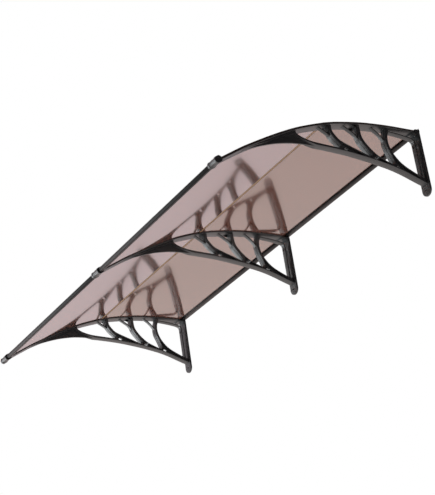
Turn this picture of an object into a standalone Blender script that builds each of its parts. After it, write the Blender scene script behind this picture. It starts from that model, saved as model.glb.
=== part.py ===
"""Door canopy: three moulded brackets, two bronze sheets, aluminium rails and their fittings.

Metres, +Z up. The wall is the plane y = 0, the canopy reaches out towards -Y and runs along X.
The origin is on the back of the middle bracket's wall plate, halfway up the plate.
"""
import math

import bpy
import bmesh
from mathutils import Vector

for old in list(bpy.data.objects):
    bpy.data.objects.remove(old, do_unlink=True)

# Whole canopy
LENGTH = 2.000            # along the wall, over the end sleeves
DEPTH = 0.960             # wall to the middle of the front rail
PLATE_HEIGHT = 0.279      # top of the canopy at the wall to the bottom of the ear
CLEAR = 0.0003            # gap between pieces that touch

# Bracket
PLATE_WIDTH = 0.052
PLATE_THICK = 0.008
RIB_WIDTH = 0.032
FORK_WIDTH = 0.016
FORK_THICK = 0.005
POST_WIDTH = 0.022
POST_DEPTH = 0.025
POST_FLANGE = 0.005
POST_WEB = 0.007
SHELF_THICK = 0.004       # step under the rear rail
SHELF_REACH = 0.012       # how far it runs on under the seat
SEAT_WIDTH = 0.050
SEAT_THICK = 0.0045
WEB_THICK = 0.006
BOSS_DIAMETER = 0.025
BOSS_WIDTH = 0.009
BOSS_HOLE = 0.018
EAR_HOLE = 0.0075
EAR_HOLE_DROP = 0.253
POST_BOSS = 0.016
POST_HOLE = 0.007
POST_BORE = 0.011
POST_BORE_DEPTH = 0.008
POST_HOLE_DROP = 0.070

# Sheets and the strips over their joints
SHEET_THICK = 0.0035
SHEET_SEAM = 0.006
COVER_THICK = 0.003
COVER_WIDTH = 0.040

# Front rail, in the plane of the sheet at its front edge
FRONT_LENGTH = 0.024
FRONT_HEIGHT = 0.017
FRONT_SLOT = 0.010
FRONT_WALL = 0.0018
FRONT_GROOVE = 0.006
GROOVE_DEPTH = 0.0012
SEAL_THICK = 0.0012
SEAL_LIP = 0.0016

# Sleeves on the front rail
SLEEVE_LENGTH = 0.056
SLEEVE_WALL = 0.0042
SLEEVE_CORNER = 0.0075
SLEEVE_END = 0.0030

# Rear rail
REAR_DEPTH = 0.023
REAR_WALL_GAP = 0.001
REAR_LOWER = 0.0050
REAR_UPPER = 0.0034
REAR_SLOT = 0.0146        # depth of the slot that takes the sheets
CAP_THICK = 0.0028
WALL_SEAL_THICK = 0.0045
WALL_SEAL_HEIGHT = 0.0065

# Screws
SCREW_SHANK = 0.004
SCREW_HEAD = 0.009
SCREW_HEAD_HEIGHT = 0.0026
SCREW_HOLE = 0.0048
SCREW_BITE = 0.0030
SLEEVE_SCREW_OFFSET = 0.014
COVER_SCREWS = (0.075, 0.305, 0.530, 0.770)   # from the rear ends of the cover strips

# Side outline, in millimetres from the wall and from the top, drawn for a 960 x 279 bracket
SEAT_REAR = [(-34, -8), (-80, -7), (-150, -6), (-225, -8), (-300, -13), (-400, -26), (-460, -38)]
SEAT_FRONT = [(-460, -38), (-530, -58), (-604, -83), (-700, -124), (-814, -179), (-866, -207),
              (-944, -252)]
ARM_LOW = [(-3, -234), (-50, -216), (-105, -194), (-155, -178.5), (-204, -167.5), (-250, -158.5),
           (-303, -150), (-352, -143), (-403, -138), (-452, -134.5), (-503, -132), (-562, -131)]
WEDGE_LOW = [(-562, -131), (-605, -133), (-654, -140), (-700, -150), (-756, -166.5),
             (-800, -182.5), (-838, -199)]
STRUT_3_WALL = [(-3, -213), (-25, -207), (-64, -189), (-103, -167), (-127, -146), (-146, -120),
                (-157, -94), (-161, -69), (-158, -44), (-149, -22), (-147, -9)]
OPENING_1 = ([(-590, -80), (-592, -91), (-580, -101), (-560, -110), (-530, -118), (-500, -122),
              (-450, -126), (-408, -129)],
             [(-408, -129), (-394, -128), (-390, -120)],
             [(-390, -120), (-402, -107), (-421, -88), (-436, -62), (-441, -34)])
OPENING_2 = ([(-423, -30), (-422, -58), (-409, -79), (-390, -97), (-351, -114), (-311, -129),
              (-272, -144)],
             [(-272, -144), (-257, -148), (-250, -141)],
             [(-250, -141), (-270, -116), (-292, -86), (-301, -58), (-304, -18)])
OPENING_3 = ([(-288, -16), (-286, -58), (-278, -81), (-256, -110), (-227, -136), (-193, -154),
              (-164, -166)],
             [(-164, -166), (-151, -167), (-147, -155)],
             [(-147, -155), (-158, -124), (-169, -97), (-173, -70), (-170, -44), (-163, -20),
              (-161, -11)])
FORKS = ([(-432, -76), (-447, -64), (-478, -48)],
         [(-297, -72), (-313, -53), (-334, -38), (-360, -25)],
         [(-171, -66), (-183, -48), (-199, -31), (-226, -13)])
CORNER = [(-27.5, -42), (-39, -35.5), (-60, -31), (-100, -25), (-150, -20)]
BOSSES = [(-363, -128), (-226, -149), (-127, -174)]
POCKETS = [
    [(-384, -104.5), (-351, -119), (-318, -131.5), (-292, -141.5), (-290, -146.5), (-303, -145.5),
     (-352, -138.5), (-382, -135), (-386, -127), (-391, -117)],
    [(-247, -124), (-224, -142), (-191, -159.5), (-180, -164), (-178, -169), (-204, -163.5),
     (-244, -155), (-250, -149), (-244, -140)],
    [(-147, -130), (-131, -149), (-106, -171), (-66, -194), (-38, -207), (-38, -214.5),
     (-50, -210.5), (-105, -189), (-144, -176.5), (-147, -168), (-141, -155), (-151, -133)]]
WEDGE_POCKET = [(-480, -140), (-505, -131.5), (-535, -125), (-566, -116), (-588, -105.5),
                (-602, -97), (-612, -97.5), (-650, -113), (-700, -134.5), (-745, -156),
                (-775, -168), (-870, -212), (-870, -230), (-480, -160)]


# Points, curves and solids

def at(y, z):
    """Point of the side outline in metres, from its drawing in millimetres."""
    return Vector((y * DEPTH / 960.0, PLATE_HEIGHT * (0.5 + z / 279.0)))


def smooth(points, steps=2):
    """Catmull-Rom line through the drawn points."""
    pts = [p if isinstance(p, Vector) else at(*p) for p in points]
    ends = [2 * pts[0] - pts[1]] + pts + [2 * pts[-1] - pts[-2]]
    line = []
    for a, b, c, d in zip(ends, ends[1:], ends[2:], ends[3:]):
        for k in range(steps):
            t = k / steps
            line.append(0.5 * (2 * b + (c - a) * t + (2 * a - 5 * b + 4 * c - d) * t * t
                               + (3 * b - a - 3 * c + d) * t ** 3))
    return line + [pts[-1]]


def left(direction):
    return Vector((-direction.y, direction.x)).normalized()


def offset(line, distance):
    """The line moved sideways, to its left when the distance is positive."""
    moved = []
    for i, p in enumerate(line):
        steps = [p - line[max(i - 1, 0)], line[min(i + 1, len(line) - 1)] - p]
        sides = [left(d) for d in steps if d.length > 1e-7]
        side = sum(sides, Vector((0, 0))).normalized()
        moved.append(p + side * distance / max(side.dot(sides[0]), 0.5))
    return moved


parts = bpy.data.collections.new("door_canopy")
cutters = bpy.data.collections.new("door_canopy_cutters")
bpy.context.scene.collection.children.link(parts)
bpy.context.scene.collection.children.link(cutters)


def put(obj, collection):
    for other in list(obj.users_collection):
        other.objects.unlink(obj)
    collection.objects.link(obj)
    if collection is cutters:
        obj.hide_render = True
        obj.display_type = 'WIRE'
    return obj


def plate(name, loops, x0, x1, collection=cutters, facing='X'):
    """Flat piece: outlines in (y, z) made solid from x0 to x1, or in (x, z) along Y."""
    curve = bpy.data.curves.new(name, 'CURVE')
    curve.dimensions = '2D'
    curve.fill_mode = 'BOTH'
    curve.extrude = abs(x1 - x0) / 2
    for loop in loops:
        spline = curve.splines.new('POLY')
        spline.points.add(len(loop) - 1)
        for point, p in zip(spline.points, loop):
            point.co = (p.x, p.y, 0, 1)
        spline.use_cyclic_u = True
    flat = put(bpy.data.objects.new(name + "_outline", curve), collection)
    across = facing == 'X'
    flat.location = ((x0 + x1) / 2, 0, 0) if across else (0, (x0 + x1) / 2, 0)
    flat.rotation_euler = (math.pi / 2, 0, math.pi / 2 if across else 0)
    bpy.context.view_layer.update()
    return finished(flat, name, collection)


def finished(source, name, collection):
    """The object as a plain mesh with its modifiers applied and its caps welded."""
    graph = bpy.context.evaluated_depsgraph_get()
    mesh = bpy.data.meshes.new_from_object(source.evaluated_get(graph))
    bm = bmesh.new()
    bm.from_mesh(mesh)
    bmesh.ops.remove_doubles(bm, verts=bm.verts, dist=0.00002)
    bmesh.ops.transform(bm, matrix=source.matrix_world, verts=bm.verts)
    bmesh.ops.recalc_face_normals(bm, faces=bm.faces)
    bm.to_mesh(mesh)
    bm.free()
    mesh.name = name
    obj = put(bpy.data.objects.new(name, mesh), collection)
    bpy.data.objects.remove(source, do_unlink=True)
    bpy.context.view_layer.update()
    return obj


def rod(name, diameter, length, middle, direction, sides=24, collection=cutters):
    bpy.ops.mesh.primitive_cylinder_add(vertices=sides, radius=diameter / 2, depth=length,
                                        location=middle)
    obj = bpy.context.object
    obj.name = obj.data.name = name
    obj.rotation_mode = 'QUATERNION'
    obj.rotation_quaternion = Vector(direction).to_track_quat('Z', 'Y')
    bpy.context.view_layer.update()
    return put(obj, collection)


def boolean(obj, others, operation):
    for other in others:
        step = obj.modifiers.new(other.name, 'BOOLEAN')
        step.operation = operation
        step.solver = 'EXACT'
        step.object = other


def paint(obj, name, colour, rough, metallic=0.0, transmission=0.0):
    mat = bpy.data.materials.get(name) or bpy.data.materials.new(name)
    mat.use_nodes = True
    shader = mat.node_tree.nodes["Principled BSDF"]
    shader.inputs["Base Color"].default_value = (*colour, 1)
    shader.inputs["Roughness"].default_value = rough
    shader.inputs["Metallic"].default_value = metallic
    shader.inputs["Transmission Weight"].default_value = transmission
    mat.diffuse_color = (*colour, 1)
    obj.data.materials.clear()
    obj.data.materials.append(mat)


def black_plastic(obj):
    paint(obj, "black_plastic", (0.028, 0.028, 0.029), 0.38)


def dark_metal(obj):
    paint(obj, "charcoal_aluminium", (0.075, 0.077, 0.080), 0.42, 0.7)


def soft_rubber(obj):
    paint(obj, "grey_rubber", (0.30, 0.29, 0.28), 0.75)


def bronze_sheet(obj):
    paint(obj, "bronze_sheet", (0.45, 0.33, 0.28), 0.08, 0.0, 0.85)


def zinc_steel(obj):
    paint(obj, "zinc_steel", (0.52, 0.53, 0.55), 0.32, 1.0)


# Lines that the pieces share

SEAT_END = -(REAR_DEPTH + REAR_WALL_GAP + CLEAR)
seat_level = at(*SEAT_REAR[0]).y
seat_rear = smooth([Vector((SEAT_END, seat_level))] + SEAT_REAR[1:])
seat_front = smooth(SEAT_FRONT)
seat_line = seat_rear + seat_front[1:]
slope = (seat_front[-1] - seat_front[-2]).normalized()   # down the front of the sheet
rise = Vector((slope.y, -slope.x))                       # square to it, upwards
sheet_middle = seat_line[-1] + rise * (CLEAR + SHEET_THICK / 2)
rail_centre = sheet_middle + slope * ((-DEPTH - sheet_middle.x) / slope.x)
sheet_under = offset(seat_line, -CLEAR)
sheet_over = offset(seat_line, -CLEAR - SHEET_THICK)
cover_under = offset(seat_line, -2 * CLEAR - SHEET_THICK)
cover_over = offset(seat_line, -2 * CLEAR - SHEET_THICK - COVER_THICK)
bracket_x = (LENGTH - SLEEVE_LENGTH) / 2
end_x = LENGTH / 2 - SLEEVE_END - CLEAR
inner_x = SHEET_SEAM / 2
sleeve_a = FRONT_LENGTH / 2 + CLEAR + SLEEVE_WALL
sleeve_n = FRONT_HEIGHT / 2 + CLEAR + SLEEVE_WALL


def on_rail(a, n):
    """Point of the front rail's section: a down the slope, n square to it and upwards."""
    return rail_centre + slope * a + rise * n


def clipped(line, reach):
    """The line cut where it meets the rear of the front sleeves or the slot, at reach."""
    kept = [p for p in line if (p - rail_centre).dot(slope) < reach - 0.004]
    last = kept[-1]
    return kept + [last + slope * (reach - (last - rail_centre).dot(slope))]


# Bracket: frame with its openings, pockets in both sides, seat, post, plate and bosses

def below_seat(x, depth):
    """Point of the line at a depth under the top of the seat, x metres from the wall."""
    line = offset(seat_line, depth)
    for a, b in zip(line, line[1:]):
        if b.x <= x:
            return a + (b - a) * ((x - a.x) / (b.x - a.x))
    return line[-1]


def under_seat(x0, x1, depth):
    """The line at a depth under the top of the seat, between two distances from the wall."""
    low, high = sorted((x0, x1))
    run = [p for p in offset(seat_line, depth) if low + 0.003 < p.x < high - 0.003]
    run = run if x1 < x0 else run[::-1]
    return [below_seat(x0, depth)] + run + [below_seat(x1, depth)]


def opening(runs):
    """Closed outline of an opening, cut up into the seat's thickness at its top."""
    start, stop = at(*runs[0][0]).x, at(*runs[-1][-1]).x
    top = under_seat(stop, start, SEAT_THICK * 0.25)
    runs = [list(run) for run in runs]
    runs[0][0], runs[-1][-1] = top[-1], top[0]
    loop = []
    for run in runs:
        loop += smooth(run)[:-1]
    return loop + top[:-1]


openings = [opening(OPENING_1), opening(OPENING_2), opening(OPENING_3)]
frame_top = under_seat(at(*STRUT_3_WALL[-1]).x, at(*WEDGE_LOW[-1]).x, SEAT_THICK * 0.6)
frame_loop = (smooth(ARM_LOW) + smooth(WEDGE_LOW)[1:] + frame_top[::-1]
              + smooth(STRUT_3_WALL[:-1] + [frame_top[0]])[::-1][1:])

half = RIB_WIDTH / 2
side = WEB_THICK / 2
frame = plate("frame", [frame_loop], -half, half)
gaps = [plate(f"opening_{k}", [loop], -half - 0.01, half + 0.01)
        for k, loop in enumerate(openings)]
bosses = []
for k, (y, z) in enumerate(BOSSES):
    c = at(y, z)
    bosses.append(rod(f"boss_{k}", BOSS_DIAMETER, BOSS_WIDTH, (0, c.x, c.y), (1, 0, 0), 30))
for k, outline in enumerate(POCKETS + [WEDGE_POCKET]):
    for name, x0, x1 in (("right", side, half + 0.01), ("left", -half - 0.01, -side)):
        gaps.append(plate(f"pocket_{name}_{k}", [[at(*p) for p in outline]], x0, x1))
boolean(frame, gaps, 'DIFFERENCE')
frame = finished(frame, "frame_cut", cutters)

seat_reach = -sleeve_a - CLEAR
seat_top = clipped(seat_line, seat_reach)
seat_low = clipped(offset(seat_line, SEAT_THICK), seat_reach)
wall_top = seat_level + CLEAR - REAR_LOWER - CLEAR * 2
ear_z = at(0, 0).y - EAR_HOLE_DROP
post_low = at(0, -220).y

back = -PLATE_THICK * 0.5
shelf_y = SEAT_END - SHELF_REACH
shelf_low = wall_top - SHELF_THICK
shelf = [below_seat(shelf_y, SEAT_THICK), Vector((shelf_y, shelf_low)), Vector((back, shelf_low)),
         Vector((back, wall_top)), Vector((SEAT_END, wall_top))]
seat_low = [p for p in seat_low if p.x < shelf_y - 0.001]
seat = plate("seat", [seat_top + seat_low[::-1] + shelf], -SEAT_WIDTH / 2, SEAT_WIDTH / 2)
post_y = -POST_DEPTH + POST_FLANGE / 2
post_line = smooth([Vector((post_y, post_low)), Vector((post_y, post_low / 2)),
                    Vector((post_y, at(0, -70).y)), Vector((post_y, at(0, -54).y))] + CORNER)
flange = offset(post_line, POST_FLANGE / 2) + offset(post_line, -POST_FLANGE / 2)[::-1]
post = plate("post", [flange], -POST_WIDTH / 2, POST_WIDTH / 2)
web_top = wall_top - SHELF_THICK * 0.4
post_web = plate("post_web", [post_line + under_seat(post_line[-1].x, shelf_y, SEAT_THICK * 0.6)
                              + [Vector((shelf_y, web_top)), Vector((back, web_top)),
                                 Vector((back, post_low))]], -POST_WEB / 2, POST_WEB / 2)
post_z = at(0, 0).y - POST_HOLE_DROP
post_boss = rod("post_boss", POST_BOSS, POST_DEPTH - 0.0015, (0, -POST_DEPTH / 2 - 0.00125, post_z),
                (0, 1, 0), 28)
round_end = [Vector((math.sin(t) * PLATE_WIDTH / 2, ear_z - math.cos(t) * PLATE_WIDTH / 2))
             for t in [math.pi * (k / 28 - 0.5) for k in range(29)]]
plate_top = wall_top - SHELF_THICK * 0.25
wall_plate = plate("wall_plate", [round_end + [Vector((PLATE_WIDTH / 2, plate_top)),
                                               Vector((-PLATE_WIDTH / 2, plate_top))]],
                   -PLATE_THICK, 0, facing='Y')
joined = bosses + [post, post_boss, post_web, seat, wall_plate]
for k, line in enumerate(FORKS):
    middle = smooth(line[:-1] + [below_seat(at(*line[-1]).x, SEAT_THICK * 0.6)])
    stroke = offset(middle, FORK_THICK / 2) + offset(middle, -FORK_THICK / 2)[::-1]
    joined.append(plate(f"fork_{k}", [stroke], -FORK_WIDTH / 2, FORK_WIDTH / 2))
holes = []
for k, centre in enumerate(BOSSES):
    c = at(*centre)
    holes.append(rod(f"boss_hole_{k}", BOSS_HOLE, 0.06, (0, c.x, c.y), (1, 0, 0), 24))
holes.append(rod("ear_hole", EAR_HOLE, 0.04, (0, 0, ear_z), (0, 1, 0), 24))
holes.append(rod("post_hole", POST_HOLE, 0.12, (0, 0, post_z), (0, 1, 0), 20))
holes.append(rod("post_bore", POST_BORE, 2 * POST_BORE_DEPTH, (0, -POST_DEPTH, post_z),
                 (0, 1, 0), 24))


def seat_frame(distance):
    """Point on the seat line at a distance from the wall, and the upward normal there."""
    for a, b in zip(seat_line, seat_line[1:]):
        if b.x <= -distance:
            p = a + (b - a) * ((-distance - a.x) / (b.x - a.x))
            return p, -left(b - a)
    return seat_line[-1], rise


stations = [seat_frame(d * DEPTH / 0.960 - SEAT_END) for d in COVER_SCREWS]
for k, (p, up) in enumerate(stations):
    m = p - up * (SCREW_BITE / 2 - 0.01)
    holes.append(rod(f"pilot_{k}", SCREW_HOLE, SCREW_BITE + 2 * CLEAR + 0.02,
                     (0, m.x, m.y), (0, up.x, up.y), 16))

boolean(frame, joined, 'UNION')
boolean(frame, holes, 'DIFFERENCE')
frame.modifiers.new("flat", 'DECIMATE').decimate_type = 'DISSOLVE'
frame.modifiers["flat"].angle_limit = math.radians(0.2)
bracket_mesh = finished(frame, "bracket", cutters)
for name, x in (("bracket_right", bracket_x), ("bracket_middle", 0.0), ("bracket_left", -bracket_x)):
    obj = bpy.data.objects.new(name, bracket_mesh.data.copy())
    obj.location = (x, 0, 0)
    put(obj, parts)
    black_plastic(obj)
bpy.data.objects.remove(bracket_mesh, do_unlink=True)


# Sheets, each with a clearance hole for every screw that passes through it

sheet_front = -FRONT_LENGTH / 2 + FRONT_SLOT - CLEAR
rear_slot_y = -REAR_WALL_GAP - REAR_DEPTH + REAR_SLOT
rear_under = Vector((rear_slot_y - 2 * CLEAR, seat_level + CLEAR))
rear_over = Vector((rear_slot_y - 2 * CLEAR, seat_level + CLEAR + SHEET_THICK))
sheet_loop = ([rear_under] + clipped(sheet_under, sheet_front)
              + clipped(sheet_over, sheet_front)[::-1] + [rear_over])
screw_a = -FRONT_LENGTH / 2 + FRONT_SLOT / 2
sleeve_spots = {"right": (bracket_x - SLEEVE_SCREW_OFFSET, bracket_x + SLEEVE_SCREW_OFFSET),
                "middle": (-SLEEVE_SCREW_OFFSET, SLEEVE_SCREW_OFFSET),
                "left": (-bracket_x - SLEEVE_SCREW_OFFSET, -bracket_x + SLEEVE_SCREW_OFFSET)}


def through(name, x, p, up, length=0.06):
    return rod(name, SCREW_HOLE, length, (x, p.x, p.y), (0, up.x, up.y), 16)


for name, sign in (("right", 1), ("left", -1)):
    sheet = plate(f"sheet_{name}", [sheet_loop], *sorted((sign * inner_x, sign * end_x)),
                  collection=parts)
    cuts = [through(f"sheet_{name}_hole_{k}", sign * bracket_x, p, up)
            for k, (p, up) in enumerate(stations)]
    for k, x in enumerate(sleeve_spots[name] + (sign * SLEEVE_SCREW_OFFSET,)):
        cuts.append(through(f"sheet_{name}_rail_hole_{k}", x, on_rail(screw_a, 0), rise))
    boolean(sheet, cuts, 'DIFFERENCE')
    bronze_sheet(sheet)


# Strips over the sheets, on the three brackets

cover_loop = clipped(cover_under, seat_reach) + clipped(cover_over, seat_reach)[::-1]
for name, x in (("right", bracket_x), ("middle", 0.0), ("left", -bracket_x)):
    cover = plate(f"cover_strip_{name}", [cover_loop], x - COVER_WIDTH / 2, x + COVER_WIDTH / 2,
                  collection=parts)
    cuts = [through(f"cover_{name}_hole_{k}", x, p, up) for k, (p, up) in enumerate(stations)]
    boolean(cover, cuts, 'DIFFERENCE')
    black_plastic(cover)


# Front rails with a slot for the sheet and a hollow nose, and the seals in their slots

a0, n0 = FRONT_LENGTH / 2, FRONT_HEIGHT / 2
slot_up = SHEET_THICK / 2 + CLEAR
slot_low = SHEET_THICK / 2 + 2 * CLEAR + SEAL_THICK
bevel = 0.0035
rail_loop = [on_rail(a, n) for a, n in (
    (-a0, slot_up), (-a0, n0 - 0.0015), (-a0 + 0.0015, n0), (a0 - bevel, n0), (a0, n0 - bevel),
    (a0, -n0 + bevel), (a0 - bevel, -n0), (FRONT_GROOVE / 2, -n0),
    (FRONT_GROOVE / 2 - 0.0008, -n0 + GROOVE_DEPTH), (-FRONT_GROOVE / 2 + 0.0008, -n0 + GROOVE_DEPTH),
    (-FRONT_GROOVE / 2, -n0), (-a0 + 0.0015, -n0), (-a0, -n0 + 0.0015), (-a0, -slot_low),
    (-a0 + FRONT_SLOT, -slot_low), (-a0 + FRONT_SLOT, slot_up))]
w = FRONT_WALL
chamber = [on_rail(a, n) for a, n in (
    (-a0 + FRONT_SLOT + w, n0 - w), (a0 - bevel - 0.4 * w, n0 - w), (a0 - w, n0 - bevel - 0.4 * w),
    (a0 - w, -n0 + bevel + 0.4 * w), (a0 - bevel - 0.4 * w, -n0 + w + GROOVE_DEPTH),
    (-a0 + FRONT_SLOT + w, -n0 + w + GROOVE_DEPTH))]
seal_loop = [on_rail(a, n) for a, n in (
    (-a0 - SEAL_LIP, -slot_low + CLEAR + SEAL_THICK), (-a0 - SEAL_LIP, -slot_low + CLEAR),
    (-a0 + FRONT_SLOT - CLEAR, -slot_low + CLEAR),
    (-a0 + FRONT_SLOT - CLEAR, -slot_low + CLEAR + SEAL_THICK))]
for name, sign in (("right", 1), ("left", -1)):
    span = sorted((sign * inner_x, sign * end_x))
    rail = plate(f"front_rail_{name}", [rail_loop, chamber], *span, collection=parts)
    top = on_rail(screw_a, n0)
    cuts = [through(f"front_rail_{name}_hole_{k}", x, top, rise, 2 * (n0 - slot_up / 2))
            for k, x in enumerate(sleeve_spots[name] + (sign * SLEEVE_SCREW_OFFSET,))]
    boolean(rail, cuts, 'DIFFERENCE')
    dark_metal(rail)
    seal = plate(f"front_seal_{name}", [seal_loop], *span, collection=parts)
    soft_rubber(seal)


# Sleeves: eight-sided, open at the rear for the sheet, the end ones closed outside

def octagon(a, n, corner):
    return [(-a, n - corner), (-a + corner, n), (a - corner, n), (a, n - corner), (a, -n + corner),
            (a - corner, -n), (-a + corner, -n), (-a, -n + corner)]


ring = octagon(sleeve_a, sleeve_n, SLEEVE_CORNER)
inside = FRONT_LENGTH / 2 + CLEAR
tall = FRONT_HEIGHT / 2 + CLEAR
mouth_low = slot_low + CLEAR
mouth = sleeve_a + 0.005
hollow_loop = [on_rail(a, n) for a, n in (
    (-mouth, slot_up), (-inside, slot_up), (-inside, tall), (inside - bevel, tall),
    (inside, tall - bevel), (inside, -tall + bevel), (inside - bevel, -tall), (-inside, -tall),
    (-inside, -mouth_low), (-mouth, -mouth_low))]
for name, x, outer in (("right", bracket_x, 1), ("middle", 0.0, 0), ("left", -bracket_x, -1)):
    sleeve = plate(f"front_sleeve_{name}", [[on_rail(a, n) for a, n in ring]],
                   x - SLEEVE_LENGTH / 2, x + SLEEVE_LENGTH / 2, collection=parts)
    ends = [x - SLEEVE_LENGTH / 2 - 0.005, x + SLEEVE_LENGTH / 2 + 0.005]
    if outer:
        ends[(outer + 1) // 2] = outer * (LENGTH / 2 - SLEEVE_END)
    boolean(sleeve, [plate(f"sleeve_{name}_hollow", [hollow_loop], *ends)], 'DIFFERENCE')
    top = on_rail(screw_a, sleeve_n)
    cuts = [through(f"sleeve_{name}_hole_{k}", spot, top, rise, 2 * (sleeve_n - slot_up / 2))
            for k, spot in enumerate(sleeve_spots[name])]
    boolean(sleeve, cuts, 'DIFFERENCE')
    black_plastic(sleeve)


# Rear rails on the wall plates, their end caps and the seal against the wall

rear_low = seat_level + CLEAR - CLEAR - REAR_LOWER
rear_high = seat_level + 2 * CLEAR + SHEET_THICK + REAR_UPPER
rear_y = -REAR_WALL_GAP
slot_low_z, slot_high_z = seat_level, seat_level + 2 * CLEAR + SHEET_THICK
rear_loop = [Vector(p) for p in (
    (rear_y, rear_high), (rear_y, rear_low), (rear_y - REAR_DEPTH + 0.001, rear_low),
    (rear_y - REAR_DEPTH, rear_low + 0.001), (rear_y - REAR_DEPTH, slot_low_z),
    (rear_slot_y, slot_low_z), (rear_slot_y, slot_high_z),
    (rear_y - REAR_DEPTH, slot_high_z), (rear_y - REAR_DEPTH, rear_high - 0.001),
    (rear_y - REAR_DEPTH + 0.001, rear_high))]
rear_cap_loop = [Vector(p) for p in (
    (rear_y, rear_high), (rear_y, rear_low), (rear_y - REAR_DEPTH, rear_low),
    (rear_y - REAR_DEPTH, rear_high))]
seal_z = rear_high + CLEAR
wall_seal_loop = [Vector(p) for p in (
    (-CLEAR, seal_z), (-CLEAR, seal_z + WALL_SEAL_HEIGHT),
    (-CLEAR - WALL_SEAL_THICK * 0.4, seal_z + WALL_SEAL_HEIGHT),
    (-CLEAR - WALL_SEAL_THICK, seal_z + WALL_SEAL_HEIGHT * 0.3),
    (-CLEAR - WALL_SEAL_THICK * 2.2, seal_z + WALL_SEAL_HEIGHT * 0.3),
    (-CLEAR - WALL_SEAL_THICK * 2.2, seal_z))]
for name, sign in (("right", 1), ("left", -1)):
    span = sorted((sign * inner_x, sign * end_x))
    dark_metal(plate(f"rear_rail_{name}", [rear_loop], *span, collection=parts))
    soft_rubber(plate(f"wall_seal_{name}", [wall_seal_loop], *span, collection=parts))
    ends = sorted((sign * (end_x + CLEAR), sign * (end_x + CLEAR + CAP_THICK)))
    black_plastic(plate(f"rear_cap_{name}", [rear_cap_loop], *ends, collection=parts))


# Screws: a domed head turned with its shank as one profile

def screw(name, x, seat_point, up, length):
    r, s, h = SCREW_HEAD / 2, SCREW_SHANK / 2, SCREW_HEAD_HEIGHT
    profile = [(0, -length), (s * 0.6, -length), (s, -length + s * 0.6), (s, 0), (r, 0),
               (r, h * 0.35), (r * 0.78, h * 0.8), (r * 0.4, h), (0, h)]
    mesh = bpy.data.meshes.new(name)
    mesh.from_pydata([(p[0], 0, p[1]) for p in profile],
                     [(i, i + 1) for i in range(len(profile) - 1)], [])
    obj = put(bpy.data.objects.new(name, mesh), parts)
    turn = obj.modifiers.new("turn", 'SCREW')
    turn.steps = turn.render_steps = 12
    turn.use_normal_flip = True
    turn.use_merge_vertices = True
    turn.merge_threshold = 0.00002
    obj.rotation_mode = 'QUATERNION'
    obj.rotation_quaternion = Vector((0, up.x, up.y)).to_track_quat('Z', 'Y')
    obj.location = (x, seat_point.x, seat_point.y)
    bpy.context.view_layer.update()
    zinc_steel(obj)
    return obj


for name, x in (("right", bracket_x), ("middle", 0.0), ("left", -bracket_x)):
    for k, (p, up) in enumerate(stations):
        head = p + up * (3 * CLEAR + SHEET_THICK + COVER_THICK)
        screw(f"cover_screw_{name}_{k + 1}", x, head, up,
              3 * CLEAR + SHEET_THICK + COVER_THICK + SCREW_BITE)
    for k, spot in enumerate(sleeve_spots[name]):
        screw(f"sleeve_screw_{name}_{k + 1}", spot, on_rail(screw_a, sleeve_n + CLEAR), rise,
              sleeve_n + CLEAR + SHEET_THICK / 2)
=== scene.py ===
"""Door canopy seen from below: three moulded brackets carry two bronze sheets along a wall.

Everything is in metres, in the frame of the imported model: +Z up, the wall at y = 0, the canopy
reaching out towards -Y and running along X.
"""
import math

import bmesh
import bpy
from mathutils import Matrix, Vector


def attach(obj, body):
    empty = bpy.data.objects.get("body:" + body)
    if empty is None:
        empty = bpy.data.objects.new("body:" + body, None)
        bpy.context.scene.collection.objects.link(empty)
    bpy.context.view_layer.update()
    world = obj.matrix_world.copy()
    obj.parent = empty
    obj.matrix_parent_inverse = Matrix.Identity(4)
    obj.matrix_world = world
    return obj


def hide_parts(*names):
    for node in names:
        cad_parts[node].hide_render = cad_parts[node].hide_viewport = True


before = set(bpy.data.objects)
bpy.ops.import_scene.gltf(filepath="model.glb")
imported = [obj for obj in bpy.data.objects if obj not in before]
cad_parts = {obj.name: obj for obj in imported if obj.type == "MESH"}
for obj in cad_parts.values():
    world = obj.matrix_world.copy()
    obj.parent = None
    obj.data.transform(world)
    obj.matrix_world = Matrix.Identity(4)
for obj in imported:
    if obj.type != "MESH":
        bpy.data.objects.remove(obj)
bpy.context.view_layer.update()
bpy.ops.object.select_all(action='DESELECT')

# Main sizes, as the model has them
DEPTH = 0.960
TOP = 0.1395
CLEAR = 0.0003
BRACKET_X = 0.972
BRACKETS = (("right", BRACKET_X), ("middle", 0.0), ("left", -BRACKET_X))
END_X = 0.9967
SEAM_X = 0.003
RIB = 0.032
SEAT_WIDTH = 0.050
SEAT_THICK = 0.0045
SHEET = 0.0035
SHEET_REAR = -0.010
COVER = 0.003
COVER_WIDTH = 0.040
COVER_FLANGE = 0.0018     # thickness of a cover strip beside its crown
CROWN_WIDTH = 0.028
SEAT_END = -0.0243
WEB = 0.006
PLATE = 0.008
PLATE_WIDTH = 0.052
FORK = 0.016
FORK_THICK = 0.005
BOSS_HOLE = 0.018
BOSS_RADIUS = 0.0125
BOSS_WIDTH = 0.009
EAR_DROP = 0.253
EAR_HOLE = 0.0075
POST_DEPTH = 0.025
POST_FLANGE = 0.005
POST_WEB = 0.007
POST_WIDTH = 0.022
POST_DROP = 0.220
POST_BACK = -0.004
POST_HOLE = 0.007
POST_HOLE_DROP = 0.070
SCREW_HOLE = 0.0048
SCREW_BITE = 0.0030
COVER_SCREWS = (0.075, 0.305, 0.530, 0.770)   # from the rear ends of the cover strips
SEAL = 0.0012
RAIL_A = 0.012            # half the front rail's width along the slope
RAIL_N = 0.0085           # half its height
RAIL_CHAMFER = 0.0035
SLOT_END = -0.002         # how far its slot reaches, along the slope from its middle
SCREW_A = -RAIL_A + 0.005   # where the sleeve screws stand in it
REAR_FRONT = -0.024       # front and back of the rear rail, and its walls over and under
REAR_BACK = -0.001
REAR_LIP = 0.0034
REAR_FLOOR = 0.005
SLEEVE_A = 0.0165         # half the sleeve's width along the slope
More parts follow.
